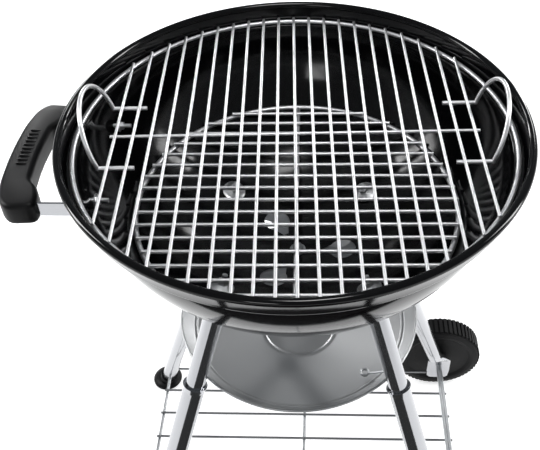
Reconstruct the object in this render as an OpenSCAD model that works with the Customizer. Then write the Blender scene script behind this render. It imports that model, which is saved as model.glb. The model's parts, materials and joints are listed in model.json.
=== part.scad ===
// Kettle charcoal grill on four splayed tube legs, with two wheels, a wire rack and an ash pan.
// Z is up and the floor is at zero. The side handle is on the left, the wheels are on the right.

/* [Bowl] */
// Height of the rolled rim above the floor
rim_h = 800; // [700:1:980]
// Outside radius of the rolled rim
rim_r = 235; // [220:1:300]
// Radius of the round wire edge that the rim is rolled into
rim_bead = 4; // [3:0.5:6]
// Depth of the bowl below its rim
bowl_depth = 190; // [160:1:240]
// Thickness of the enamelled steel
bowl_wall = 1.5; // [1:0.1:2.5]
// Depth of the ledge that the cooking grate rests on
ledge_drop = 23; // [18:0.5:34]
// Width of that ledge
ledge_w = 8.5; // [6:0.5:12]

/* [Cooking grate] */
// Gap round the cooking grate inside the rim wall
cook_gap = 3.3; // [2.5:0.1:6]
// Diameter of the ring wire
cook_ring_d = 5; // [4:0.5:8]
// Diameter of the cooking bars and of the bar across them
cook_bar_d = 3.2; // [2.5:0.1:5]
// Number of bars
cook_bars = 21; // [15:2:27]
// Distance between bars
cook_pitch = 18; // [14:0.5:20]
// Half the width of each lifting handle
lift_half = 48; // [40:1:60]
// Diameter of the lifting handle wire
lift_d = 4.4; // [3:0.1:6]
// Height of the straight part of a lifting handle
lift_stub = 6; // [3:1:20]
// Outward lean of the lifting handles, in degrees
lift_lean = 16; // [0:1:25]
// Turn of the cooking grate in the bowl, in degrees
cook_turn = 2.2; // [-10:0.1:10]

/* [Charcoal grate] */
// Radius of the charcoal ring, to the middle of its wire
coal_ring_r = 173; // [150:1:180]
// Diameter of the charcoal ring wire
coal_ring_d = 6; // [4:0.5:8]
// Diameter of the charcoal bars and their spine
coal_bar_d = 4.4; // [3:0.1:6]
// Number of charcoal bars
coal_bars = 17; // [11:2:17]
// Distance between charcoal bars
coal_pitch = 19.2; // [14:0.1:19.2]
// Turn of the charcoal grate in the bowl, in degrees
coal_turn = 0.9; // [-10:0.1:10]

/* [Vents and damper] */
// Distance of each vent's round end from the middle
vent_at = 51; // [46:1:62]
// Radius of each vent's round end
vent_r = 15; // [10:0.5:18]
// Radius of the damper disc
damper_r = 76; // [72:1:90]
// Turn of the damper from fully open, in degrees
damper_open = 22; // [0:1:55]
// Length of the damper lever beyond the disc
lever_len = 19; // [12:1:22]

/* [Legs] */
// Sideways distance of each leg bolt from the middle
leg_top_x = 79; // [70:1:90]
// Front to back distance of each leg bolt from the middle
leg_top_y = 76; // [70:1:90]
// Sideways distance of each leg line where it meets the floor
leg_foot_x = 260; // [230:1:300]
// Front to back distance of each leg line where it meets the floor
leg_foot_y = 243; // [220:1:280]
// Diameter of the upper tubes
upper_d = 22.2; // [19:0.1:28]
// Wall of the upper tubes
upper_wall = 1.2; // [0.8:0.1:2]
// Wall of the lower tubes, which the upper ones slide into
lower_wall = 1.35; // [0.8:0.05:2.5]
// Length of upper tube that shows above the collar
upper_show = 134; // [110:1:160]
// Radius of the foot pads
foot_r = 26; // [22:1:32]

/* [Wheels and axle] */
// Radius of the wheels
wheel_r = 75; // [62:1:90]
// Width of the wheels
wheel_w = 42; // [35:1:50]
// Diameter of the axle
axle_d = 10; // [8:0.5:12]
// Width of a leg's flattened end
tab_w = 40; // [34:1:46]
// Thickness of a leg's flattened end
tab_t = 4; // [2.5:0.5:6]

/* [Rack] */
// Height of the rack rods above the floor
rack_h = 50; // [46:1:56]
// Diameter of the rack rods
rack_rod_d = 5; // [4:0.5:7]
// Diameter of the rack cross wires
rack_wire_d = 4; // [3:0.5:6]
// Number of spaces between the rack cross wires, from one end rail to the other
rack_spaces = 10; // [6:2:14]

/* [Ash pan] */
// Height of the pan's rim above the leg collars
pan_rise = 3; // [1:0.5:12]
// Depth of the ash pan
pan_depth = 37; // [30:1:60]
// Thickness of the pan
pan_wall = 1.2; // [0.8:0.1:2]

/* [Side handle] */
// Depth of the handle below the rim
handle_drop = 57; // [50:1:70]
// Half the length of the grip
grip_half = 84; // [80:1:100]
// Reach of the grip beyond the rim
grip_past = 60; // [54:1:90]
// Half the distance between the two handle bolts
handle_bolt = 60; // [50:1:62]

/* [Hidden] */
$fn = 64;

enamel = "#17181a";
chrome = "#c9ccd0";
steel = "#a9adb1";
black_plastic = "#1c1d1f";
dull_aluminium = "#8f9295";

// Clearances
seat = 0.15;        // between fixed parts that touch
rest_gap = 0.3;     // under a part that lifts off what it rests on
weld = 0.3;         // how far welded wires sink into each other
slip = 0.25;        // between a tube and the tube inside it
turn_gap = 0.06;    // round the axle in each wheel
move_gap = 0.5;     // round anything that lifts, drops or turns past its neighbour
cut = 1;            // how far a cutting shape runs past what it cuts

// Bowl outline: a wall, a ledge, then one smooth curve down to the middle of the floor
wall_r = rim_r - rim_bead;
ledge_out_r = wall_r - 3.5;
body_r = ledge_out_r - ledge_w - bowl_wall;
body_top = ledge_drop + bowl_wall + 3;
SIDE_POWER = 1.56;
FLOOR_POWER = 2.46;
OUTLINE_STEPS = 36;
function curve_r(a, grow) = (body_r + grow) * pow(cos(a), 2 / FLOOR_POWER);
function curve_z(a, grow) =
    -body_top - (bowl_depth + grow - body_top) * pow(sin(a), 2 / SIDE_POWER);
function bowl_curve(grow) =
    [for (i = [0:OUTLINE_STEPS]) [curve_r(90 * i / OUTLINE_STEPS, grow),
                                  curve_z(90 * i / OUTLINE_STEPS, grow)]];
// Rolled edge: from the outside of the wall under it, over the top, to the inside of the wall
BEAD_STEPS = 26;
function bead(mid_r, mid_z, rad, wall) =
    let (turn = 450 - acos(-wall / rad))
    [for (i = [0:BEAD_STEPS]) let (a = turn * i / BEAD_STEPS - 90)
        [mid_r + rad * cos(a), mid_z + rad * sin(a)]];
function backwards(list) = [for (i = [len(list) - 1:-1:0]) list[i]];
// Height of the bowl's surface at radius r, below the rim; grow is 0 outside, -bowl_wall inside
function skin_z(r, grow) = -body_top - (bowl_depth + grow - body_top)
    * pow(1 - pow(r / (body_r + grow), FLOOR_POWER), 1 / SIDE_POWER);
// Radius of the bowl's surface at depth d below the rim
function skin_r(d, grow) = (body_r + grow)
    * pow(1 - pow((d - body_top) / (bowl_depth + grow - body_top), SIDE_POWER), 1 / FLOOR_POWER);

// Cooking grate
cook_ring_r = ledge_out_r - bowl_wall - cook_gap - cook_ring_d / 2;
cook_ring_z = rim_h - ledge_drop + rest_gap + cook_ring_d / 2;
cook_bar_z = cook_ring_z + (cook_ring_d + cook_bar_d) / 2 - weld;
lift_x = (cook_bars - 1) / 2 * cook_pitch + 10;
lift_in = cook_pitch * 2 - 1;
lift_z = cook_bar_z - (cook_bar_d + lift_d) / 2 + weld;

// Charcoal grate: the ring sits where the bowl narrows to it
coal_rest_r = coal_ring_r + 0.75 * coal_ring_d / 2;
coal_ring_z = rim_h + skin_z(coal_rest_r, -bowl_wall) + 0.66 * coal_ring_d / 2 + 2 * rest_gap;
coal_bar_z = coal_ring_z + (coal_ring_d + coal_bar_d) / 2 - weld;

// Legs: one straight line each, from the bowl's skin to the floor
leg_top_r = norm([leg_top_x, leg_top_y]);
leg_top_z = rim_h + skin_z(leg_top_r, 0);
leg_run = [leg_foot_x - leg_top_x, leg_foot_y - leg_top_y];
leg_line = norm([leg_run.x, leg_run.y, leg_top_z]);
leg_tilt = atan2(norm(leg_run), leg_top_z);
function leg_x(z) = leg_foot_x - leg_run.x * z / leg_top_z;
function leg_y(z) = leg_foot_y - leg_run.y * z / leg_top_z;
upper_in = 46;
lower_bore = upper_d / 2 + slip;
lower_d = 2 * (lower_bore + lower_wall);
collar_r = lower_d / 2 + 1.5;
stud_d = 6;
stud_show = 19;
plug_h = 16;
leg_gap = 1.2;
foot_h = 9;
foot_socket = 16;
tube_floor = 7;

// Wheels and axle
axle_x = leg_x(wheel_r);
tab_y = leg_y((wheel_r + rack_h) / 2);
tab_above = 16;
tab_under_rod = 8;
crimp_len = 34;
washer_t = 1.6;
wheel_in_y = tab_y + tab_t / 2 + washer_t + 0.6;
hub_boss = 6;
wheel_out_y = wheel_in_y + hub_boss + wheel_w;
cap_t = 4;
cap_bore = 2.6;
TEETH = 56;
tooth_deep = 2.6;

// Place of the bowl's axis, so that the grill's middle is over the origin
grip_reach = rim_r + grip_past;
bowl_x = (grip_reach - axle_x - wheel_r) / 2;

// Rack
rack_x = leg_x(rack_h);
rack_wire_z = rack_h + (rack_rod_d + rack_wire_d) / 2 - weld;
rack_nut_t = 4;
rack_nut_w = 8;
rack_rod_past = rack_nut_t + 2;
nut_tilt = rack_nut_w / 2 * leg_run.y / leg_top_z;
// Outer faces that the rack nuts bear on: the left tubes and the flattened right ends
left_face_y = leg_y(rack_h) + lower_d / 2 / cos(leg_tilt) + nut_tilt + seat;
right_face_y = tab_y + tab_t / 2 + seat;

// Ash pan: its rim fits between the legs' collars
collar_top_z = leg_top_z - upper_show * cos(leg_tilt);
pan_h = collar_top_z + pan_rise;
collar_in_r = norm([leg_x(collar_top_z), leg_y(collar_top_z)]) - collar_r * cos(leg_tilt);
tube_in_r = norm([leg_x(pan_h), leg_y(pan_h)]) - upper_d / 2 / cos(leg_tilt);
pan_r = min(collar_in_r, tube_in_r) - move_gap;
pan_step_r = pan_r - 17;
pan_disc_r = 44;

// Side handle
handle_z = rim_h - handle_drop;
strap_h = 16;
strap_t = 2.5;
grip_w = 30;
grip_h = 26;
arm_y = grip_half - 10;

// ---------------------------------------------------------------- helpers

module on_bowl() {
    translate([bowl_x, 0, 0]) children();
}

// Frame of one leg: local Z runs up the leg's line, zero is the bowl's outer skin
module on_leg(sx, sy) {
    translate([sx * leg_top_x, sy * leg_top_y, leg_top_z])
        rotate([0, 0, atan2(sy * leg_run.y, sx * leg_run.x)])
            rotate([0, -leg_tilt, 0]) children();
}

module rod(p, q, d) {
    v = q - p;
    translate(p)
        rotate([0, acos(v.z / norm(v)), atan2(v.y, v.x)])
            cylinder(h = norm(v), d = d, $fn = 24);
}

module ball(p, d) {
    translate(p) sphere(d = d, $fn = 24);
}

module along_y(y) {
    translate([0, y, 0]) rotate([-90, 0, 0]) children();
}

module hex(across, h) {
    cylinder(h = h, d = across / cos(30), $fn = 6);
}

// ---------------------------------------------------------------- bowl

module vent_shape(r) {
    // teardrop: a round end away from the middle and a narrow tip towards it
    translate([vent_at, 0]) circle(r = r);
    polygon([[vent_at - 2, r - 1.5], [vent_at - r - 8, 3], [vent_at - r - 8, -3],
             [vent_at - 2, 1.5 - r]]);
}

module bowl() {
    out = bowl_curve(0);
    inn = bowl_curve(-bowl_wall);
    color(enamel) on_bowl() difference() {
        translate([0, 0, rim_h]) rotate_extrude($fn = 180)
            polygon(concat(
                backwards(bead(wall_r, -rim_bead, rim_bead, bowl_wall)),
                [[ledge_out_r, -ledge_drop - bowl_wall], [body_r + 1, -ledge_drop - bowl_wall]],
                out,
                backwards(inn),
                [[body_r - bowl_wall, -ledge_drop], [ledge_out_r - bowl_wall, -ledge_drop]]));
        for (a = [0, 120, 240])
            rotate([0, 0, a])
                translate([0, 0, rim_h - bowl_depth - 10])
                    linear_extrude(height = 30) vent_shape(vent_r);
        translate([0, 0, rim_h - bowl_depth - 10]) cylinder(h = 30, d = stud_d + 0.4);
        for (sx = [-1, 1], sy = [-1, 1])
            on_leg(sx, sy) translate([0, 0, -8]) cylinder(h = 20, d = stud_d + 0.4, $fn = 32);
        bolt_holes(5.4);
    }
}

// ---------------------------------------------------------------- cooking grate

module on_cook() {
    on_bowl() rotate([0, 0, cook_turn]) children();
}

module cooking_ring() {
    color(chrome) on_cook() translate([0, 0, cook_ring_z])
        rotate_extrude($fn = 180)
            translate([cook_ring_r, 0]) circle(d = cook_ring_d, $fn = 24);
}

module cooking_bars() {
    half = (cook_bars - 1) / 2;
    color(chrome) on_cook()
        for (i = [-half:half]) {
            x = i * cook_pitch;
            reach = sqrt(pow(cook_ring_r, 2) - x * x) + 1;
            rod([x, -reach, cook_bar_z], [x, reach, cook_bar_z], cook_bar_d);
        }
}

module cooking_cross_bar() {
    reach = (cook_bars - 1) / 2 * cook_pitch + 6;
    z = cook_bar_z - cook_bar_d + weld;
    color(chrome) on_cook() rod([-reach, 0, z], [reach, 0, z], cook_bar_d);
}

// A lifting handle: two legs under the end bars, two short stubs and a half circle
module grate_handle(side) {
    color(chrome) on_cook() {
        for (s = [-1, 1]) {
            rod([side * (lift_x - lift_in), s * lift_half, lift_z],
                [side * lift_x, s * lift_half, lift_z], lift_d);
            ball([side * lift_x, s * lift_half, lift_z], lift_d + 0.4);
        }
        translate([side * lift_x, 0, lift_z]) rotate([0, side * lift_lean, 0]) {
            for (s = [-1, 1])
                translate([0, s * lift_half, 0]) cylinder(h = lift_stub, d = lift_d, $fn = 24);
            translate([0, 0, lift_stub]) rotate([0, 90, 0]) rotate([0, 0, 90])
                rotate_extrude(angle = 180, $fn = 96)
                    translate([lift_half, 0]) circle(d = lift_d, $fn = 24);
        }
    }
}

module grate_handle_left() { grate_handle(-1); }
module grate_handle_right() { grate_handle(1); }

// ---------------------------------------------------------------- charcoal grate

module on_coal() {
    on_bowl() rotate([0, 0, coal_turn]) children();
}

module charcoal_ring() {
    color(chrome) on_coal() translate([0, 0, coal_ring_z])
        rotate_extrude($fn = 180)
            translate([coal_ring_r, 0]) circle(d = coal_ring_d, $fn = 24);
}

module charcoal_bars() {
    half = (coal_bars - 1) / 2;
    color(chrome) on_coal()
        for (i = [-half:half]) {
            y = i * coal_pitch;
            reach = sqrt(pow(coal_ring_r, 2) - y * y) + 1;
            rod([-reach, y, coal_bar_z], [reach, y, coal_bar_z], coal_bar_d);
        }
}

module charcoal_spine() {
    reach = coal_ring_r - coal_ring_d / 2 - move_gap;
    z = coal_bar_z - coal_bar_d + weld;
    color(chrome) on_coal() rod([0, -reach, z], [0, reach, z], coal_bar_d);
}

// ---------------------------------------------------------------- damper

damper_t = 1.2;
damper_drop = 0.6;
function under_floor(r, drop) = [r, rim_h + skin_z(r, 0) - drop];

module damper_disc() {
    rings = [for (i = [0:12]) damper_r * i / 12];
    top = [for (r = rings) under_floor(r, damper_drop)];
    low = [for (i = [12:-1:0]) under_floor(rings[i], damper_drop + damper_t)];
    color(steel) on_bowl() difference() {
        rotate_extrude($fn = 120) polygon(concat(top, low));
        for (a = [0, 120, 240])
            rotate([0, 0, a + damper_open])
                translate([0, 0, rim_h - bowl_depth - 10])
                    linear_extrude(height = 30) vent_shape(vent_r);
        translate([0, 0, rim_h - bowl_depth - 10])
            cylinder(h = 30, d = stud_d + 2 * turn_gap);
        at_rivets() cylinder(h = 12, d = rivet_d + 0.2, $fn = 24);
    }
}

lever_w = 18;
lever_t = 2;
lever_az = 172;
lever_lip = 12;
lever_in = damper_r - 22;
lever_z = under_floor(lever_in, damper_drop + damper_t + lever_t + seat).y;
rivet_r = lever_in + 6;
rivet_d = 3;

module at_rivets() {
    rotate([0, 0, lever_az])
        for (s = [-1, 1])
            translate([rivet_r, s * 5, lever_z]) children();
}

module damper_lever() {
    color(steel) on_bowl() difference() {
        rotate([0, 0, lever_az]) {
            translate([lever_in, -lever_w / 2, lever_z])
                cube([damper_r - lever_in + lever_len, lever_w, lever_t]);
            translate([damper_r + lever_len - lever_t, -lever_w / 2, lever_z - lever_lip])
                cube([lever_t, lever_w, lever_lip + 1]);
        }
        at_rivets() translate([0, 0, -cut])
            cylinder(h = lever_t + 2 * cut, d = rivet_d + 0.2, $fn = 24);
    }
}

// Flat-headed rivets, with the head under the lever
module damper_rivets() {
    color(steel) on_bowl() at_rivets() {
        translate([0, 0, -1.3]) cylinder(h = 1.2, d = 6, $fn = 32);
        translate([0, 0, -0.2]) cylinder(h = lever_t + damper_t + 0.4, d = rivet_d, $fn = 24);
    }
}

module damper_bolt() {
    z = rim_h - bowl_depth;
    head = damper_drop + damper_t + 0.4;
    color(steel) on_bowl() {
        translate([0, 0, z - head]) cylinder(h = head + bowl_wall + 9, d = stud_d);
        translate([0, 0, z - head - 4]) cylinder(h = 4, d = 12);
    }
}

module damper_washer() {
    z = rim_h - bowl_depth + bowl_wall + 2 * seat;
    color(chrome) on_bowl() translate([0, 0, z]) difference() {
        cylinder(h = 1.4, d = 18);
        translate([0, 0, -cut]) cylinder(h = 4, d = stud_d + 0.2);
    }
}

module damper_nut() {
    z = rim_h - bowl_depth + bowl_wall + 1.4 + 3 * seat;
    color(chrome) on_bowl() translate([0, 0, z]) difference() {
        hex(10, 5);
        translate([0, 0, -cut]) cylinder(h = 7, d = stud_d + 0.1);
    }
}

// ---------------------------------------------------------------- legs

module upper_leg(sx, sy) {
    color(chrome) on_bowl() on_leg(sx, sy)
        translate([0, 0, -upper_show - upper_in]) difference() {
            cylinder(h = upper_show + upper_in - leg_gap, d = upper_d);
            translate([0, 0, -cut])
                cylinder(h = upper_show + upper_in + 2 * cut, d = upper_d - 2 * upper_wall);
        }
}

function leg_z(z) = -(leg_top_z - z) / cos(leg_tilt);

// Outside of a lower leg, down to the height end_z: a tube and its flared collar
module lower_outside(sx, sy, end_z) {
    on_leg(sx, sy) {
        translate([0, 0, leg_z(end_z)]) cylinder(h = -upper_show - leg_z(end_z), d = lower_d);
        translate([0, 0, -upper_show - 7]) cylinder(h = 7, r1 = lower_d / 2, r2 = collar_r);
    }
}

module lower_bore_cut(sx, sy, end_z) {
    on_leg(sx, sy) translate([0, 0, leg_z(end_z)])
        cylinder(h = -upper_show - leg_z(end_z) + cut, r = lower_bore);
}

module rack_rod_hole(sx) {
    translate([sx * rack_x, 0, rack_h])
        along_y(-wheel_out_y) cylinder(h = 2 * wheel_out_y, d = rack_rod_d + 2 * seat, $fn = 24);
}

module lower_leg_plain(sx, sy) {
    color(chrome) on_bowl() difference() {
        lower_outside(sx, sy, tube_floor);
        lower_bore_cut(sx, sy, 0);
        rack_rod_hole(sx);
    }
}

// Lower leg that ends flattened round the axle
module lower_leg_axle(sx, sy) {
    crimp_z = wheel_r + tab_above + crimp_len;
    tab_floor = rack_h - tab_under_rod;
    color(chrome) on_bowl() difference() {
        union() {
            lower_outside(sx, sy, crimp_z);
            // the crimp starts as a ring round the tube's end and ends inside the flat
            hull() {
                on_leg(sx, sy) translate([0, 0, leg_z(crimp_z) - 1])
                    rotate([0, 0, 4]) cylinder(h = 3, d = lower_d + 0.8, $fn = 32);
                translate([sx * axle_x, sy * tab_y, wheel_r + tab_above - 2])
                    cube([tab_w - 0.6, tab_t - 0.6, 2], center = true);
            }
            translate([sx * axle_x - tab_w / 2, sy * tab_y - tab_t / 2, tab_floor])
                cube([tab_w, tab_t, wheel_r + tab_above - tab_floor]);
        }
        lower_bore_cut(sx, sy, crimp_z + 16);
        translate([sx * axle_x, 0, wheel_r])
            along_y(-wheel_out_y) cylinder(h = 2 * wheel_out_y, d = axle_d + 0.2);
        rack_rod_hole(sx);
    }
}

module upper_leg_front_left() { upper_leg(-1, -1); }
module upper_leg_front_right() { upper_leg(1, -1); }
module upper_leg_rear_left() { upper_leg(-1, 1); }
module upper_leg_rear_right() { upper_leg(1, 1); }
module lower_leg_front_left() { lower_leg_plain(-1, -1); }
module lower_leg_front_right() { lower_leg_axle(1, -1); }
module lower_leg_rear_left() { lower_leg_plain(-1, 1); }
module lower_leg_rear_right() { lower_leg_axle(1, 1); }

module each_leg() {
    on_bowl() for (sx = [-1, 1], sy = [-1, 1]) on_leg(sx, sy) children();
}

module leg_plugs() {
    color(black_plastic) each_leg()
        translate([0, 0, -leg_gap - plug_h]) difference() {
            cylinder(h = plug_h, d = upper_d - 2 * upper_wall - 0.1);
            translate([0, 0, -cut]) cylinder(h = plug_h + 2 * cut, d = stud_d + 0.1, $fn = 32);
        }
}

module leg_studs() {
    color(steel) each_leg()
        translate([0, 0, -plug_h]) cylinder(h = plug_h + stud_show, d = stud_d, $fn = 32);
}

washer_d = 27;
washer_rise = 3.5;
// Height of the bowl's inner skin beside a leg's line, measured along that line
function skin_over_leg(x) =
    let (r = leg_top_r + x * cos(leg_tilt))
    (rim_h + skin_z(r, -bowl_wall) - leg_top_z - x * sin(leg_tilt)) * cos(leg_tilt);
// Room under the washer's edge for the curve of the bowl
washer_lift = max(skin_over_leg(washer_d / 2), skin_over_leg(-washer_d / 2)) - bowl_wall + seat;
nut_z = bowl_wall + washer_lift + washer_rise + 1;

module leg_washers() {
    color(chrome) each_leg()
        translate([0, 0, bowl_wall + washer_lift])
            rotate_extrude($fn = 64)
                polygon([[stud_d / 2 + 0.2, washer_rise - 0.2], [stud_d / 2 + 0.2, washer_rise + 0.8],
                         [6, washer_rise + 0.8], [11, 1.8], [washer_d / 2, 1],
                         [washer_d / 2, 0], [11, 0.8], [6, washer_rise - 0.2]]);
}

module leg_nuts() {
    color(chrome) each_leg()
        translate([0, 0, nut_z]) difference() {
            hex(10, 5);
            translate([0, 0, -cut]) cylinder(h = 7, d = stud_d + 0.1, $fn = 32);
        }
}

// Foot pad: a flat round pad with a socket that follows the leg's lean
module foot_pad(sx, sy) {
    bottom = -(leg_top_z - tube_floor) / cos(leg_tilt);
    color(black_plastic) on_bowl() difference() {
        union() {
            translate([sx * leg_foot_x, sy * leg_foot_y, 0])
                rotate_extrude($fn = 96)
                    polygon([[0, 0], [foot_r - 1.5, 0], [foot_r, 1.5], [foot_r, 3.5],
                             [foot_r - 4, foot_h - 2], [foot_r - 8, foot_h], [0, foot_h]]);
            intersection() {
                on_leg(sx, sy) translate([0, 0, bottom - 14])
                    cylinder(h = 14 + foot_socket, d = lower_d + 4);
                translate([sx * leg_foot_x - 60, sy * leg_foot_y - 60, 1]) cube([120, 120, 80]);
            }
        }
        on_leg(sx, sy) translate([0, 0, bottom - 0.1])
            cylinder(h = 60, d = lower_d + 0.2);
    }
}

module foot_front_left() { foot_pad(-1, -1); }
module foot_rear_left() { foot_pad(-1, 1); }

// ---------------------------------------------------------------- wheels

module at_axle() {
    on_bowl() translate([axle_x, 0, wheel_r]) children();
}

module axle() {
    reach = wheel_out_y - 1 + move_gap + cap_bore - seat;
    color(steel) at_axle() along_y(-reach) cylinder(h = 2 * reach, d = axle_d);
}

module axle_washers() {
    color(steel) at_axle()
        for (s = [-1, 1])
            translate([0, s * (tab_y + tab_t / 2 + 0.3 + washer_t / 2), 0])
                along_y(-washer_t / 2) difference() {
                    cylinder(h = washer_t, d = axle_d + 12);
                    translate([0, 0, -cut]) cylinder(h = washer_t + 2 * cut, d = axle_d + 0.2);
                }
}

// Outline of the tread: a circle with square notches
module tread_outline() {
    difference() {
        circle(r = wheel_r, $fn = 180);
        for (i = [0:TEETH - 1])
            rotate(360 * (i + 0.5) / TEETH)
                translate([wheel_r - tooth_deep, -1.6]) square([tooth_deep + cut, 3.2]);
    }
}

// One wheel, from the inner face of its hub at zero outwards
module wheel_solid() {
    shoulder = 6;
    inner = hub_boss;
    outer = hub_boss + wheel_w;
    groove = wheel_r - tooth_deep - 0.2;
    band = wheel_r - 12;
    hub = axle_d / 2 + 9;
    bore = axle_d / 2 + turn_gap;
    difference() {
        union() {
            translate([0, 0, inner + shoulder])
                linear_extrude(height = wheel_w - 2 * shoulder) tread_outline();
            // shoulders, sidewalls and hub, one turned body
            rotate_extrude($fn = 120)
                polygon([[bore, 0], [hub, 0], [hub + 2, inner + 4], [band - 10, inner + 7],
                         [band - 4, inner + 3], [band, inner + 2], [wheel_r - 5, inner + 3],
                         [groove, inner + shoulder + 1], [groove, outer - shoulder - 1],
                         [wheel_r - 5, outer - 3], [band, outer - 2], [band - 4, outer - 3],
                         [band - 10, outer - 9], [hub + 2, outer - 6], [hub, outer - 1],
                         [bore, outer - 1]]);
        }
        translate([0, 0, -cut]) cylinder(h = outer + 2 * cut, r = bore);
    }
}

module wheel_rear() {
    color(black_plastic) at_axle() along_y(wheel_in_y) wheel_solid();
}

module wheel_front() {
    color(black_plastic) at_axle() mirror([0, 1, 0]) along_y(wheel_in_y) wheel_solid();
}

// Cap pressed on the axle's end; its bore ends just past the axle
module hub_cap() {
    along_y(wheel_out_y - 1 + move_gap) difference() {
        rotate_extrude($fn = 64)
            polygon([[0, 0], [12, 0], [12, 1.5], [9, cap_t - 0.8], [6, cap_t], [0, cap_t]]);
        translate([0, 0, -cut]) cylinder(h = cap_bore + cut, d = axle_d + 0.1);
    }
}

module hub_cap_rear() { color(black_plastic) at_axle() hub_cap(); }
module hub_cap_front() { color(black_plastic) at_axle() mirror([0, 1, 0]) hub_cap(); }

// ---------------------------------------------------------------- rack

module rack_rod_left() {
    reach = left_face_y + rack_rod_past;
    color(steel) on_bowl()
        rod([-rack_x, -reach, rack_h], [-rack_x, reach, rack_h], rack_rod_d);
}

module rack_rod_centre() {
    reach = tab_y + rack_wire_d / 2;
    color(steel) on_bowl() rod([0, -reach, rack_h], [0, reach, rack_h], rack_rod_d);
}

module rack_rod_right() {
    reach = right_face_y + rack_rod_past;
    color(steel) on_bowl()
        rod([rack_x, -reach, rack_h], [rack_x, reach, rack_h], rack_rod_d);
}

// Wires across the rods; the first and last are rails that stop at the legs
module rack_cross_wires() {
    half = rack_spaces / 2;
    color(chrome) on_bowl() {
        for (i = [1 - half:half - 1]) {
            y = i * tab_y / half;
            rod([-rack_x - 4, y, rack_wire_z], [rack_x + 4, y, rack_wire_z], rack_wire_d);
        }
        for (s = [-1, 1]) difference() {
            rod([-rack_x, s * tab_y, rack_wire_z],
                [axle_x - tab_w / 2 - seat, s * tab_y, rack_wire_z], rack_wire_d);
            on_leg(-1, s) translate([0, 0, -leg_line])
                cylinder(h = leg_line / 2, d = lower_d + 2 * seat);
        }
    }
}

module rack_nuts() {
    color(steel) on_bowl() for (s = [-1, 1]) {
        translate([-rack_x, s * left_face_y, rack_h]) rack_nut(s);
        translate([rack_x, s * right_face_y, rack_h]) rack_nut(s);
    }
}

module rack_nut(s) {
    rotate([-s * 90, 0, 0]) difference() {
        hex(rack_nut_w, rack_nut_t);
        translate([0, 0, -cut])
            cylinder(h = rack_nut_t + 2 * cut, d = rack_rod_d + 0.1, $fn = 24);
    }
}

// ---------------------------------------------------------------- ash pan

module ash_pan() {
    floor_z = -pan_depth + pan_wall;
    step_z = -0.42 * pan_depth;
    bead_r = 1.8;
    disc_lift = 1.4;
    color(dull_aluminium) on_bowl() translate([0, 0, pan_h]) rotate_extrude($fn = 180)
        polygon(concat(
            backwards(bead(pan_r - bead_r, -bead_r, bead_r, pan_wall)),
            [[pan_step_r + 3, step_z - pan_wall], [pan_step_r - 1, step_z - pan_wall - 1.5],
             [pan_disc_r + 4, floor_z - pan_wall], [pan_disc_r, floor_z - pan_wall],
             [pan_disc_r - 1.5, floor_z + disc_lift - pan_wall], [0, floor_z + disc_lift - pan_wall],
             [0, floor_z + disc_lift], [pan_disc_r - 1.5, floor_z + disc_lift],
             [pan_disc_r, floor_z], [pan_disc_r + 4, floor_z], [pan_step_r - 2, step_z - 1.5],
             [pan_step_r - 1, step_z], [pan_step_r + 2, step_z]]));
}

// Wire clip on the front right leg: it reaches over the pan's rim and ends in an eye
clip_d = 2.6;
clip_knuckle = 3.4;
eye_r = 4.5;
module pan_clip() {
    z_over = pan_h + 4;
    leg = [leg_x(z_over), -leg_y(z_over), z_over];
    dir = [leg.x, leg.y, 0] / norm([leg.x, leg.y]);
    start = leg - dir * (upper_d / 2 - upper_wall);
    over = [dir.x * (pan_r - 4), dir.y * (pan_r - 4) + 3, z_over];
    eye = [over.x - 24, over.y + 9, pan_h - 0.42 * pan_depth + 4];
    flat = [over.x - eye.x, over.y - eye.y, 0];
    joint = eye + flat / norm(flat) * eye_r;
    color(steel) on_bowl() {
        rod(start, over, clip_d);
        ball(over, clip_knuckle);
        rod(over, joint, clip_d);
        // the turned eye, a flat-sided ring a little thicker than the wire that runs into it
        translate([eye.x, eye.y, eye.z - clip_knuckle / 2]) difference() {
            cylinder(r = eye_r + clip_knuckle / 2, h = clip_knuckle, $fn = 96);
            translate([0, 0, -1]) cylinder(r = eye_r - clip_knuckle / 2, h = clip_knuckle + 2, $fn = 96);
        }
    }
}

// ---------------------------------------------------------------- side handle

// Plan of the grip: a bar with both ends turned in towards the bowl
module grip_plan() {
    x0 = -grip_reach;
    polygon([[x0 + 18, grip_half], [x0 + 8, grip_half - 12], [x0 + 2, grip_half - 38],
             [x0, 14], [x0, -14], [x0 + 2, 38 - grip_half], [x0 + 8, 12 - grip_half],
             [x0 + 18, -grip_half], [x0 + 46, 2 - grip_half], [x0 + 46, 20 - grip_half],
             [x0 + 40, 34 - grip_half], [x0 + grip_w + 2, -grip_half / 2], [x0 + grip_w, -10],
             [x0 + grip_w, 10], [x0 + grip_w + 2, grip_half / 2], [x0 + 40, grip_half - 34],
             [x0 + 46, grip_half - 20], [x0 + 46, grip_half - 2]]);
}

module handle_grip() {
    slot = strap_t + 0.6;
    color(black_plastic) on_bowl() difference() {
        translate([0, 0, handle_z - grip_h / 2]) linear_extrude(height = grip_h) grip_plan();
        for (s = [-1, 1])
            translate([-grip_reach + 13, s * (arm_y - strap_t / 2) - slot / 2,
                       handle_z - strap_h / 2 - 0.3])
                cube([60, slot, strap_h + 0.6]);
    }
}

// One steel strap: a back plate on the bowl's wall with both ends turned out into the grip
strap_in_r = skin_r(handle_drop - strap_h / 2, 0) + rest_gap;
strap_out_r = strap_in_r + strap_t;

module bolt_holes(d) {
    for (s = [-1, 1])
        translate([0, s * handle_bolt, handle_z])
            rotate([0, -90, 0]) cylinder(h = rim_r + 20, d = d, $fn = 32);
}

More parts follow.
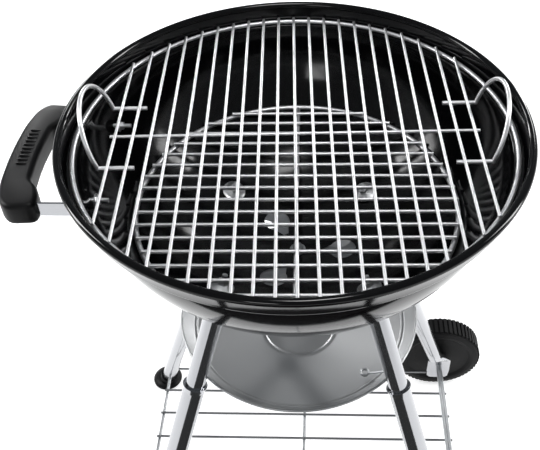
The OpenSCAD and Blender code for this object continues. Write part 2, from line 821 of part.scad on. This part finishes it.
module handle_strap() {
    arm_root = sqrt(pow(strap_in_r, 2) - arm_y * arm_y) + 1;
    arm_end = grip_reach - 14;
    color(chrome) on_bowl() difference() {
        union() {
            intersection() {
                translate([0, 0, handle_z - strap_h / 2]) rotate_extrude($fn = 180)
                    polygon([[strap_in_r, 0], [strap_out_r, 0], [strap_out_r, strap_h],
                             [strap_in_r, strap_h]]);
                translate([-2 * rim_r, -arm_y, 0]) cube([2 * rim_r, 2 * arm_y, rim_h]);
            }
            for (s = [-1, 1])
                translate([-arm_end, s * (arm_y - strap_t / 2) - strap_t / 2, handle_z - strap_h / 2])
                    cube([arm_end - arm_root, strap_t, strap_h]);
        }
        bolt_holes(5.4);
    }
}

bolt_head_r = 5;
bolt_head_t = 3.5;
bolt_end = 13;
// How far out the bolt heads sit, and how far in the nuts start, both clear of curved faces
head_x = sqrt(pow(strap_out_r, 2) - pow(handle_bolt - bolt_head_r, 2)) + seat;
nut_ring_r = 7;
nut_x = sqrt(pow(skin_r(handle_drop + nut_ring_r, -bowl_wall), 2)
    - pow(handle_bolt + nut_ring_r, 2)) - seat;

module handle_bolts() {
    color(steel) on_bowl() for (s = [-1, 1])
        translate([0, s * handle_bolt, handle_z]) rotate([0, -90, 0]) {
            translate([0, 0, nut_x - bolt_end])
                cylinder(h = head_x - nut_x + bolt_end + 1, d = 5, $fn = 32);
            translate([0, 0, head_x]) cylinder(h = bolt_head_t, r = bolt_head_r, $fn = 32);
        }
}

module handle_nuts() {
    ring_t = 1.2;
    nut_t = 4;
    color(chrome) on_bowl() for (s = [-1, 1])
        translate([0, s * handle_bolt, handle_z]) rotate([0, -90, 0])
            translate([0, 0, nut_x - ring_t - nut_t]) difference() {
                union() {
                    translate([0, 0, nut_t]) cylinder(h = ring_t, r = nut_ring_r, $fn = 32);
                    hex(8, nut_t + 0.1);
                }
                translate([0, 0, -cut]) cylinder(h = 8, d = 5.1, $fn = 32);
            }
}

// ---------------------------------------------------------------- all sub-parts

bowl();
cooking_ring();
cooking_bars();
cooking_cross_bar();
grate_handle_left();
grate_handle_right();
charcoal_ring();
charcoal_bars();
charcoal_spine();
damper_disc();
damper_lever();
damper_rivets();
damper_bolt();
damper_washer();
damper_nut();
upper_leg_front_left();
upper_leg_front_right();
upper_leg_rear_left();
upper_leg_rear_right();
lower_leg_front_left();
lower_leg_front_right();
lower_leg_rear_left();
lower_leg_rear_right();
leg_plugs();
leg_studs();
leg_washers();
leg_nuts();
foot_front_left();
foot_rear_left();
axle();
axle_washers();
wheel_front();
wheel_rear();
hub_cap_front();
hub_cap_rear();
rack_rod_left();
rack_rod_centre();
rack_rod_right();
rack_cross_wires();
rack_nuts();
ash_pan();
pan_clip();
handle_grip();
handle_strap();
handle_bolts();
handle_nuts();
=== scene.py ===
import json
import math

import bmesh
import bpy
from mathutils import Matrix, Vector


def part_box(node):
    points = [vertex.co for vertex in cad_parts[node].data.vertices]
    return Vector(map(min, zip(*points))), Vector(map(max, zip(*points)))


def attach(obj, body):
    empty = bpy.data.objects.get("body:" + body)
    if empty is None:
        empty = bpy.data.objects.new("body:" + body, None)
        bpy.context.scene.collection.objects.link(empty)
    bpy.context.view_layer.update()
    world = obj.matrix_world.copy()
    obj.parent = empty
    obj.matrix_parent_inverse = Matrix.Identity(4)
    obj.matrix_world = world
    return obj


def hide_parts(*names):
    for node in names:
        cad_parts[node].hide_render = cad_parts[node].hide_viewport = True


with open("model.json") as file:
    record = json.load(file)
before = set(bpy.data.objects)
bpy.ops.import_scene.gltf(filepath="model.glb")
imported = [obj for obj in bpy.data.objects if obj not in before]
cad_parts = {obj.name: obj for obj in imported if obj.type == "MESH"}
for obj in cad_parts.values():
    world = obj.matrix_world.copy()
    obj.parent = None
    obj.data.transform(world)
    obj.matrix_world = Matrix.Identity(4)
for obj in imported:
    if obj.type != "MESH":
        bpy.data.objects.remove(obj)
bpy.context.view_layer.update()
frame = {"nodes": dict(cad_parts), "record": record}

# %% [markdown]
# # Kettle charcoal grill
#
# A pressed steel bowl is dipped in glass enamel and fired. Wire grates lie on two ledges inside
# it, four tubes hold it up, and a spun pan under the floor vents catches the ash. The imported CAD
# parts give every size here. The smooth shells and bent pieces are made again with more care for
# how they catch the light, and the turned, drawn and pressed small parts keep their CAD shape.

MM = 0.001
bowl_low, bowl_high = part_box("bowl")
BOWL_X = (bowl_low[0] + bowl_high[0]) / 2
RIM_Z = bowl_high[2]
print("bowl axis", round(BOWL_X, 5), "rim height", round(RIM_Z, 4))


def new_piece(name, bm, material, body, slot, *nodes):
    """Turns a bmesh into a piece of the model that moves with a body and stands for CAD nodes."""
    bmesh.ops.remove_doubles(bm, verts=bm.verts, dist=2e-6)
    bmesh.ops.dissolve_degenerate(bm, edges=bm.edges, dist=1e-7)
    bmesh.ops.recalc_face_normals(bm, faces=bm.faces)
    mesh = bpy.data.meshes.new(name)
    bm.to_mesh(mesh)
    bm.free()
    for face in mesh.polygons:
        face.use_smooth = True
    mesh.set_sharp_from_angle(angle=math.radians(38))
    piece = bpy.data.objects.new(name, mesh)
    bpy.context.scene.collection.objects.link(piece)
    piece.data.materials.append(material)
    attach(piece, body)
    if nodes:
        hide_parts(*nodes)
    print(name, len(mesh.polygons), "faces")
    return piece


def soften(points, radius, steps=4):
    """Rounds the inner corners of a line of points in a plane, as a press tool would."""
    out = [Vector(points[0])]
    for before, corner, after in zip(points, points[1:], points[2:]):
        before, corner, after = Vector(before), Vector(corner), Vector(after)
        reach = min(radius, (before - corner).length * 0.45, (after - corner).length * 0.45)
        a = corner + (before - corner).normalized() * reach
        b = corner + (after - corner).normalized() * reach
        for k in range(steps + 1):
            t = k / steps
            out.append(a * (1 - t) ** 2 + corner * 2 * t * (1 - t) + b * t * t)
    return out + [Vector(points[-1])]


def arc(centre, radius, start, end, steps):
    """Points on a circle between two angles in degrees."""
    return [(centre[0] + radius * math.cos(math.radians(start + (end - start) * k / steps)),
             centre[1] + radius * math.sin(math.radians(start + (end - start) * k / steps)))
            for k in range(steps + 1)]


def spun(profile, steps, top_z):
    """Spins a profile of (radius, height) in mm about the bowl's axis."""
    bm = bmesh.new()
    verts = [bm.verts.new((r * MM, 0, z * MM)) for r, z in profile]
    edges = [bm.edges.new(pair) for pair in zip(verts, verts[1:])]
    bmesh.ops.spin(bm, geom=verts + edges, cent=(0, 0, 0), axis=(0, 0, 1), angle=2 * math.pi,
                   steps=steps, use_merge=True)
    bmesh.ops.remove_doubles(bm, verts=bm.verts, dist=2e-6)
    bmesh.ops.translate(bm, verts=bm.verts, vec=(BOWL_X, 0, top_z))
    return bm


def ring(bm, centre, along, half_x, half_y, segments, power=1.0, cap=False, side=(1, 0, 0)):
    """A closed ring across a path, round or squarer, and its edges."""
    along = Vector(along).normalized()
    across = (Vector(side) - along * along.dot(Vector(side))).normalized()
    turn = Matrix((across, along.cross(across), along)).transposed().to_4x4()
    made = bmesh.ops.create_circle(bm, cap_ends=cap, radius=1, segments=segments)["verts"]
    for vert in made:
        for k, half in ((0, half_x), (1, half_y)):
            vert.co[k] = math.copysign(abs(vert.co[k]) ** power, vert.co[k]) * half
    bmesh.ops.transform(bm, matrix=Matrix.Translation(Vector(centre)) @ turn, verts=made)
    return list({edge for vert in made for edge in vert.link_edges})


def lofted(sections, segments):
    """Bridges rings one after another. A section is centre, direction, half sizes and power."""
    bm = bmesh.new()
    rings = [ring(bm, s[0], s[1], s[2], s[3], segments, s[4],
                  cap=k in (0, len(sections) - 1), side=s[5] if len(s) > 5 else (1, 0, 0))
             for k, s in enumerate(sections)]
    for one, other in zip(rings, rings[1:]):
        bmesh.ops.bridge_loops(bm, edges=one + other)
    return bm


# %% [markdown]
# ## Finishes
#
# Each finish is a small set of shader nodes. Patterns follow the object's own coordinates in
# metres, so a ring or a grain keeps its true size. The enamel has to be the darkest and
# smoothest surface, the wires the brightest, and the pan the dullest of the metals.

# %% Shared helpers for the finishes
def linear(code):
    """A hex colour as the straight light values that a shader needs."""
    parts = [int(code[k:k + 2], 16) / 255 for k in (1, 3, 5)]
    return tuple(c / 12.92 if c <= 0.04045 else ((c + 0.055) / 1.055) ** 2.4 for c in parts) + (1.0,)


def add(tree, kind, links=None, **values):
    """Adds one shader node. Links go in by socket name, plain values by node setting."""
    node = tree.nodes.new(kind)
    for key, value in values.items():
        setattr(node, key, value)
    for socket, source in (links or {}).items():
        if hasattr(source, "is_output"):
            tree.links.new(source, node.inputs[socket])
        else:
            node.inputs[socket].default_value = source
    return node


def finish_of(name, base, rough, metallic=0.0, grain_mm=0.0, depth=0.0, spread=0.0,
              rings=False, **more):
    """A material with an even colour, and a fine grain that moves roughness and height."""
    material = bpy.data.materials.new(name)
    material.use_nodes = True
    tree = material.node_tree
    tree.nodes.clear()
    out = add(tree, "ShaderNodeOutputMaterial")
    shader = add(tree, "ShaderNodeBsdfPrincipled",
                 {"Base Color": linear(base), "Roughness": rough, "Metallic": metallic, **more})
    if grain_mm:
        place = add(tree, "ShaderNodeTexCoord").outputs["Object"]
        if rings:
            shifted = add(tree, "ShaderNodeVectorMath", {0: place, 1: (-BOWL_X, 0, 0)}).outputs[0]
            flat = add(tree, "ShaderNodeVectorMath", {0: shifted, 1: (1, 1, 0)},
                       operation="MULTIPLY").outputs[0]
            reach = add(tree, "ShaderNodeVectorMath", {0: flat},
                        operation="LENGTH").outputs["Value"]
            place = add(tree, "ShaderNodeCombineXYZ", {"X": reach}).outputs[0]
        noise = add(tree, "ShaderNodeTexNoise",
                    {"Vector": place, "Scale": 1 / (grain_mm * MM), "Detail": 3.0}).outputs[0]
        rough_map = add(tree, "ShaderNodeMapRange",
                        {"Value": noise, "To Min": rough - spread,
                         "To Max": rough + spread}).outputs[0]
        tree.links.new(rough_map, shader.inputs["Roughness"])
        bump = add(tree, "ShaderNodeBump",
                   {"Height": noise, "Strength": 0.4, "Distance": depth * MM}).outputs[0]
        tree.links.new(bump, shader.inputs["Normal"])
    tree.links.new(shader.outputs[0], out.inputs[0])
    return material


# %% The finishes
FINISHES = {
    # fired glass enamel: almost black, with sharp small highlights and a faint orange-peel
    "black_enamel": finish_of("gloss_black_enamel", "#040405", 0.1,
                              grain_mm=14, depth=0.04, spread=0.02,
                              **{"IOR": 1.38, "Specular IOR Level": 0.5}),
    # plated wire, slightly rough from drawing, so that it stays bright from every side
    "bright_wire": finish_of("bright_plated_wire", "#F4F4F5", 0.42, 1.0,
                             grain_mm=3, depth=0.01, spread=0.04),
    # polished chrome tube: long clear reflections along the leg
    "leg_chrome": finish_of("polished_chrome", "#B4B5B8", 0.12, 1.0,
                            grain_mm=20, depth=0.01, spread=0.02),
    # zinc plate: grey, a little cloudy
    "zinc_steel": finish_of("zinc_plated_steel", "#B9BBBD", 0.34, 1.0,
                            grain_mm=2, depth=0.01, spread=0.06),
    # rolled sheet of the damper, satin
    "damper_steel": finish_of("satin_sheet_steel", "#A6A8AA", 0.4, 1.0,
                              grain_mm=4, depth=0.01, spread=0.05),
    # spun aluminium: fine rings left by the spinning tool, dull and grey
    "pan_aluminium": finish_of("spun_aluminium", "#B4B5B6", 0.42, 1.0,
                               grain_mm=1.4, depth=0.02, spread=0.06,
                               rings=True),
    # nylon with a fine moulded texture that spreads the light
    "black_plastic": finish_of("matte_black_nylon", "#030304", 0.46,
                               grain_mm=0.6, depth=0.03, spread=0.06,
                               **{"Specular IOR Level": 0.22}),
    # blow-moulded wheel, flat black
    "wheel_plastic": finish_of("matte_black_wheel", "#020203", 0.6,
                               grain_mm=0.8, depth=0.03, spread=0.06,
                               **{"Specular IOR Level": 0.22}),
}
# the same plating, darker and a little less rough, on the rack's cross wires low under the bowl
RACK_WIRE = finish_of("darker_plated_wire", "#8E8F91", 0.34, 1.0,
                      grain_mm=3, depth=0.01, spread=0.05)
# a brighter copy of the zinc plate, as a painted highlight, on the small fasteners inside the bowl
ZINC_PAINTED_HIGHLIGHT = finish_of("zinc_painted_highlight", "#E4E5E6", 0.36, 1.0, grain_mm=2, depth=0.01, spread=0.05)
# the small fasteners take the zinc with its painted highlight
SPECIAL = {"rack_cross_wires": RACK_WIRE, "leg_washers": ZINC_PAINTED_HIGHLIGHT, "leg_nuts": ZINC_PAINTED_HIGHLIGHT,
           "handle_nuts": ZINC_PAINTED_HIGHLIGHT, "leg_studs": ZINC_PAINTED_HIGHLIGHT, "handle_bolts": ZINC_PAINTED_HIGHLIGHT}
node_slot = {part["node"]: part["material_slot"] for part in frame["record"]["subparts"]}
for node, obj in frame["nodes"].items():
    for place in obj.material_slots:
        place.material = SPECIAL.get(node, FINISHES[node_slot[node]])
print(len(node_slot), "nodes painted with", len(FINISHES), "finishes")

# %% [markdown]
# ## The bowl
#
# A press draws the bowl from one sheet. The rim is rolled outwards into a bead that stiffens it
# and hides the cut edge. Under it the wall steps in to a flat ledge, where the cooking grate
# lies, and then curves down to a nearly flat floor. One spun profile, drawn down the inside and
# back up the outside, gives the sheet its thickness. The enamel rounds each bend a little, so
# the corners of the profile are softened before the spin.

# %% Spin the shell
CURVE_R, CURVE_TOP, CURVE_DEPTH = 217.5, -27.5, 162.5


def bowl_curve(grow, first, last, steps):
    """The lower bowl from one angle to another, in degrees, for the outer or the inner skin."""
    angles = [math.radians(first + (last - first) * k / steps) for k in range(steps + 1)]
    return [((CURVE_R + grow) * max(math.cos(a), 0) ** (2 / 2.46),
             CURVE_TOP - (CURVE_DEPTH + grow) * max(math.sin(a), 0) ** (2 / 1.56)) for a in angles]


outside = bowl_curve(0, 90, 3, 56) + [(217.5, -27.5)]
ledge_out = soften([(217.5, -27.5), (218.5, -24.5), (227.5, -24.5), (231, -8.2)], 2.2)[1:]
bead = arc((231, -4), 4, -88, 246, 20)
ledge_in = soften([bead[-1], (226, -23), (216, -23), (216, -26.5)], 1.6)[1:]
inside = bowl_curve(-1.5, 2, 90, 56)
profile = outside + [tuple(p) for p in ledge_out] + bead + [tuple(p) for p in ledge_in] + inside
profile = [(r if r > 0.2 else 0, z) for r, z in profile]
bowl_mesh = spun(profile, 192, RIM_Z)
bowl = new_piece("bowl_shell", bowl_mesh, FINISHES["black_enamel"], "stand_and_bowl",
                 "black_enamel", "bowl")

# %% Cut the three air vents through the floor


def cutter(bm, name):
    """A solid that only serves to cut a hole."""
    bmesh.ops.recalc_face_normals(bm, faces=bm.faces)
    mesh = bpy.data.meshes.new(name)
    bm.to_mesh(mesh)
    bm.free()
    obj = bpy.data.objects.new(name, mesh)
    bpy.context.scene.collection.objects.link(obj)
    return obj


def carve(piece, tool):
    """Cuts the tool out of the piece for good and throws the tool away."""
    cut = piece.modifiers.new("cut", "BOOLEAN")
    cut.operation, cut.solver, cut.object = "DIFFERENCE", "EXACT", tool
    graph = bpy.context.evaluated_depsgraph_get()
    done = bpy.data.meshes.new_from_object(piece.evaluated_get(graph))
    piece.modifiers.clear()
    piece.data = done
    bpy.data.objects.remove(tool)


def vent_tools(shape, low, high, name):
    """The same outline three times round the bowl's axis, as upright cutters."""
    bm = bmesh.new()
    for turn in (0, 120, 240):
        verts = shape(bm)
        face = bm.faces.new(verts) if not verts[0].link_faces else verts[0].link_faces[0]
        grown = bmesh.ops.extrude_face_region(bm, geom=[face])["geom"]
        top = [v for v in grown if isinstance(v, bmesh.types.BMVert)]
        bmesh.ops.translate(bm, verts=top, vec=(0, 0, high - low))
        own = list({v for v in top} | set(verts))
        spin = Matrix.Rotation(math.radians(turn), 4, "Z")
        bmesh.ops.transform(bm, matrix=Matrix.Translation((BOWL_X, 0, low)) @ spin, verts=own)
    return cutter(bm, name)


def round_vent(bm):
    return bmesh.ops.create_circle(bm, cap_ends=True, radius=15 * MM, segments=40,
                                   matrix=Matrix.Translation((51 * MM, 0, 0)))["verts"]


def wedge_vent(bm):
    return [bm.verts.new((x * MM, y * MM, 0)) for x, y in ((49, -13.5), (49, 13.5), (28, 3), (28, -3))]


carve(bowl, vent_tools(round_vent, 0.58, 0.66, "round_cut"))
carve(bowl, vent_tools(wedge_vent, 0.58, 0.66, "wedge_cut"))
bowl.data.set_sharp_from_angle(angle=math.radians(38))
print("bowl with vents", len(bowl.data.polygons), "faces")

# %% [markdown]
# ## The ash pan
#
# The pan is spun from thin aluminium over a wooden form. A step near the edge and a raised disc
# in the middle keep the sheet stiff, and the edge is curled over a bead. Its outline is spun in
# the same way as the bowl's, and the fine rings come with the finish.

# %% Spin the pan
pan_low, pan_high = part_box("ash_pan")
PAN_R = (pan_high[0] - pan_low[0]) / 2 / MM
PAN_TOP = pan_high[2]
PAN_DEPTH, PAN_SHEET, PAN_BEAD, PAN_DISC = 37, 1.2, 1.8, 44
DISC_RISE, STEP_SHARE = 1.4, 0.42
step_r, step_z, floor_z = PAN_R - 17, -STEP_SHARE * PAN_DEPTH, -PAN_DEPTH + PAN_SHEET
outer = soften([(0, floor_z + DISC_RISE - PAN_SHEET),
                (PAN_DISC - 1.5, floor_z + DISC_RISE - PAN_SHEET),
                (PAN_DISC, floor_z - PAN_SHEET), (PAN_DISC + 4, floor_z - PAN_SHEET),
                (step_r - 1, step_z - PAN_SHEET - 1.5), (step_r + 3, step_z - PAN_SHEET),
                (PAN_R - PAN_BEAD - 0.3, -2 * PAN_BEAD)], 1.6)
curl = arc((PAN_R - PAN_BEAD, -PAN_BEAD), PAN_BEAD, -80, 235, 14)
inner = soften([curl[-1], (step_r + 2, step_z), (step_r - 1, step_z), (step_r - 2, step_z - 1.5),
                (PAN_DISC + 4, floor_z), (PAN_DISC, floor_z), (PAN_DISC - 1.5, floor_z + DISC_RISE),
                (0, floor_z + DISC_RISE)], 1.4)[1:]
pan_profile = [tuple(p) for p in outer] + curl + [tuple(p) for p in inner]
new_piece("ash_pan_spun", spun(pan_profile, 160, PAN_TOP), FINISHES["pan_aluminium"],
          "ash_pan", "pan_aluminium", "ash_pan")

# %% [markdown]
# ## The wire clip
#
# A single wire comes out of the front right leg, reaches over the edge of the pan and turns
# round on itself in an eye. It is bent cold from one length, so it is one sweep of a round
# section along a bent path.

# %% Bend the clip
WIRE = 1.3 * MM
EYE_R = 4.5 * MM
LEG_TOP = 630.01


def leg_line(z, side):
    """Where the middle of a right leg is at height z, for the front (-1) or the rear (1)."""
    share = z / LEG_TOP
    return Vector((BOWL_X + (260 - 181 * share) * MM, side * (243 - 167 * share) * MM, z * MM))


over_z = PAN_TOP / MM + 4
leg = leg_line(over_z, -1)
out_way = Vector((leg.x - BOWL_X, leg.y, 0)).normalized()
start = leg - out_way * 10 * MM
over = Vector((BOWL_X, 3 * MM, over_z * MM)) + out_way * (PAN_R - 4) * MM
eye = Vector((over.x - 24 * MM, over.y + 9 * MM, PAN_TOP + (4 + step_z) * MM))
flat = Vector((over.x - eye.x, over.y - eye.y, 0)).normalized()
eye_turn = math.atan2(flat.y, flat.x)
joint = eye + flat * EYE_R
path = [start, over + (start - over).normalized() * 4 * MM, over + Vector((0, 0, -0.2 * MM)),
        over + (joint - over).normalized() * 4 * MM, over.lerp(joint, 0.6), joint]
for k in range(1, 21):
    angle = eye_turn + math.radians(17 * k)
    path.append(eye + Vector((EYE_R * math.cos(angle), EYE_R * math.sin(angle),
                              -0.004 * k * MM)))
sections = []
for k, point in enumerate(path):
    along = path[min(k + 1, len(path) - 1)] - path[max(k - 1, 0)]
    sections.append((point, along, WIRE, WIRE, 1.0, (0, 0, 1)))
new_piece("pan_clip_wire", lofted(sections, 14), FINISHES["zinc_steel"], "stand_and_bowl",
          "zinc_steel", "pan_clip")

# %% [markdown]
# ## The two legs with wheels
#
# Each right leg is a tube whose lower end is flattened in a press so that the axle can pass
# through it. The tube swells from round to flat over a few centimetres. Rings along the leg,
# each a little wider and thinner than the last, give the same soft change. At the top the tube
# is flared into a collar, with a dark gap where the upper tube goes in.

# %% Form the flattened legs
AXLE_X = BOWL_X + 238.45 * MM
TAB_Y = 226.4 * MM
for side, name in ((-1, "front"), (1, "rear")):
    down = (leg_line(0, side) - leg_line(600, side)).normalized()
    top_z = PAN_TOP / MM - 3
    sections = []
    cos_tilt = abs(down.z)
    for drop, half in ((6, 11.3), (0, 12.9), (0, 14.2), (7, 12.7)):
        sections.append((leg_line(top_z - drop * cos_tilt, side), down, half * MM, half * MM, 1.0))
    for z in (400, 250, 160, 127):
        sections.append((leg_line(z, side), down, 12.7 * MM, 12.7 * MM, 1.0))
    flat_top = Vector((AXLE_X, side * TAB_Y, 89 * MM))
    begin = leg_line(127, side)
    for k in range(1, 9):
        t = k / 8
        ease = t * t * (3 - 2 * t)
        middle = begin.lerp(flat_top, t)
        middle.x = begin.x + (flat_top.x - begin.x) * (t * 0.6 + ease * 0.4)
        half_x, half_y = 12.7 + (20 - 12.7) * ease, 12.7 + (2 - 12.7) * ease
        along = down.lerp(Vector((0, 0, -1)), ease)
        sections.append((middle, along, half_x * MM, half_y * MM, 1 - 0.45 * ease))
    for z in (60, 46, 42.4):
        narrow = 20 if z > 50 else (18.5 if z > 43 else 15)
        sections.append((Vector((AXLE_X, side * TAB_Y, z * MM)), (0, 0, -1),
                         narrow * MM, 2 * MM, 0.55))
    new_piece("lower_leg_wheel_" + name, lofted(sections, 40), FINISHES["leg_chrome"],
              "stand_and_bowl", "leg_chrome", f"lower_leg_{name}_right")

# %% [markdown]
# ## The side handle
#
# The grip is moulded nylon, a bar whose two ends turn in towards the bowl. A mould leaves every
# edge rounded, which is what makes it read as soft and dark. The outline is drawn in plan,
# pulled up to its height and bevelled all round. Across the inner half run ten low ribs that
# stop a wet hand from slipping.

# %% Mould the grip and its ribs
grip_low, grip_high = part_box("handle_grip")
X0 = (grip_low[0] - BOWL_X) / MM
HALF = grip_high[1] / MM
grip_plan = [(X0 + 18, HALF), (X0 + 8, HALF - 12), (X0 + 2, HALF - 38), (X0, 14), (X0, -14),
             (X0 + 2, 38 - HALF), (X0 + 8, 12 - HALF), (X0 + 18, -HALF), (X0 + 46, 2 - HALF),
             (X0 + 46, 20 - HALF), (X0 + 40, 34 - HALF), (X0 + 32, -HALF / 2), (X0 + 30, -10),
             (X0 + 30, 10), (X0 + 32, HALF / 2), (X0 + 40, HALF - 34), (X0 + 46, HALF - 20),
             (X0 + 46, HALF - 2)]
closed_plan = [((grip_plan[0][0] + grip_plan[-1][0]) / 2,
                (grip_plan[0][1] + grip_plan[-1][1]) / 2)]
closed_plan += grip_plan + closed_plan[:1]
smooth_plan = soften(closed_plan, 9, 3)[:-1]
bm = bmesh.new()
face = bm.faces.new([bm.verts.new((BOWL_X + p[0] * MM, p[1] * MM, grip_low[2])) for p in smooth_plan])
raised = bmesh.ops.extrude_face_region(bm, geom=[face])["geom"]
bmesh.ops.translate(bm, verts=[v for v in raised if isinstance(v, bmesh.types.BMVert)],
                    vec=(0, 0, grip_high[2] - grip_low[2]))
bmesh.ops.recalc_face_normals(bm, faces=bm.faces)
rims = [e for e in bm.edges if abs(e.verts[0].co.z - e.verts[1].co.z) < 1e-6]
bmesh.ops.bevel(bm, geom=rims, offset=7 * MM, offset_type="OFFSET", segments=5, profile=0.5,
                affect="EDGES", material=-1, clamp_overlap=True)
new_piece("handle_grip_moulded", bm, FINISHES["black_plastic"], "stand_and_bowl",
          "black_plastic", "handle_grip")
bm = bmesh.new()
for k in range(10):
    y = (-20 + 6 * k) * MM
    length = 15 - 0.25 * abs(k - 4.5)
    made = bmesh.ops.create_uvsphere(bm, u_segments=16, v_segments=8, radius=1)["verts"]
    bmesh.ops.scale(bm, vec=(length / 2 * MM, 1.6 * MM, 1.5 * MM), verts=made)
    bmesh.ops.rotate(bm, cent=(0, 0, 0), matrix=Matrix.Rotation(math.radians(8), 3, "Y"), verts=made)
    bmesh.ops.translate(bm, verts=made, vec=(BOWL_X + (X0 + 18) * MM, y, grip_high[2] - 0.3 * MM))
new_piece("handle_ribs", bm, FINISHES["black_plastic"], "stand_and_bowl", "black_plastic")

# %% [markdown]
# ## Studio
#
# Enamel mirrors what stands round it, so the room is kept dim and a few bright panels give it
# its highlights. The same panels light the wires and the tubes from several sides. The floor is
# a pale sweep that also throws light back up under the bowl.

# %% Floor, light and room
bm = bmesh.new()
bmesh.ops.create_grid(bm, x_segments=1, y_segments=1, size=12)
floor_mesh = bpy.data.meshes.new("studio_floor")
bm.to_mesh(floor_mesh)
bm.free()
floor = bpy.data.objects.new("studio_floor", floor_mesh)
floor.location.z = -0.0005
bpy.context.scene.collection.objects.link(floor)
floor.data.materials.append(finish_of("pale_floor", "#F2F2F2", 0.9, **{
    "Emission Color": (1, 1, 1, 1), "Emission Strength": 0.62}))

# a dark card lies in front, out of the picture: the chrome legs and the front of the bowl mirror it
bm = bmesh.new()
bmesh.ops.create_grid(bm, x_segments=1, y_segments=1, size=1)
bmesh.ops.scale(bm, vec=(0.46, 1.0, 1), verts=bm.verts)
bmesh.ops.translate(bm, vec=(0, -1.2, 0.004), verts=bm.verts)
card_mesh = bpy.data.meshes.new("dark_card")
bm.to_mesh(card_mesh)
bm.free()
card = bpy.data.objects.new("dark_card", card_mesh)
bpy.context.scene.collection.objects.link(card)
card.data.materials.append(finish_of("grey_felt", "#3A3A3A", 0.9))
card.visible_camera = False
card.visible_diffuse = False
card.visible_shadow = False

world = bpy.data.worlds.new("studio_room")
world.use_nodes = True
world.node_tree.nodes["Background"].inputs["Color"].default_value = (0.9, 0.95, 1.0, 1.0)
world.node_tree.nodes["Background"].inputs["Strength"].default_value = 0.22
bpy.context.scene.world = world


def panel(name, at, width, height, power, aim=(0, 0, 0.6)):
    """A flat soft lamp that faces a point."""
    lamp = bpy.data.lights.new(name, "AREA")
    lamp.shape, lamp.size, lamp.size_y, lamp.energy = "RECTANGLE", width, height, power
    obj = bpy.data.objects.new(name, lamp)
    obj.location = at
    obj.rotation_euler = (Vector(aim) - Vector(at)).to_track_quat("-Z", "Y").to_euler()
    bpy.context.scene.collection.objects.link(obj)
    return obj


panel("lamp_above", (0.1, -0.2, 2.4), 0.4, 0.4, 9)
panel("lamp_left", (-2.3, 0.3, 1.7), 0.4, 1.6, 34)
panel("lamp_right", (2.4, 0.4, 1.7), 0.4, 1.6, 34)
panel("lamp_back_left", (-1.3, 2.2, 1.5), 0.2, 1.5, 20)
panel("lamp_back_right", (1.5, 2.1, 1.5), 0.2, 1.5, 20)
panel("lamp_front", (-0.5, -2.4, 1.6), 0.5, 0.5, 5)
scene = bpy.context.scene
scene.view_settings.view_transform = "Standard"
scene.view_settings.look = "None"

# %% [markdown]
# ## Camera
#
# The camera stands in front of the grill, a little above eye height, and looks down into the
# open bowl.

# %% Place the camera
PITCH, YAW, ROLL = 0.7242, -0.0305, -0.0133
forward = Vector((math.sin(YAW) * math.cos(PITCH), math.cos(YAW) * math.cos(PITCH), -math.sin(PITCH)))
level = Vector((math.cos(YAW), -math.sin(YAW), 0))
up = level.cross(forward)
right = math.cos(ROLL) * level + math.sin(ROLL) * up
upward = -math.sin(ROLL) * level + math.cos(ROLL) * up
lens = bpy.data.cameras.new("front_camera")
lens.lens, lens.sensor_width = 53.36, 36
lens.shift_x, lens.shift_y = -0.0623, -0.0863
lens.clip_end = 50
camera = bpy.data.objects.new("front_camera", lens)
turn = Matrix((right, upward, -forward)).transposed().to_4x4()
camera.matrix_world = Matrix.Translation((BOWL_X + 0.02707, -0.63167, RIM_Z + 0.47964)) @ turn
scene.collection.objects.link(camera)
scene.camera = camera
print("camera at", [round(c, 3) for c in camera.matrix_world.translation])
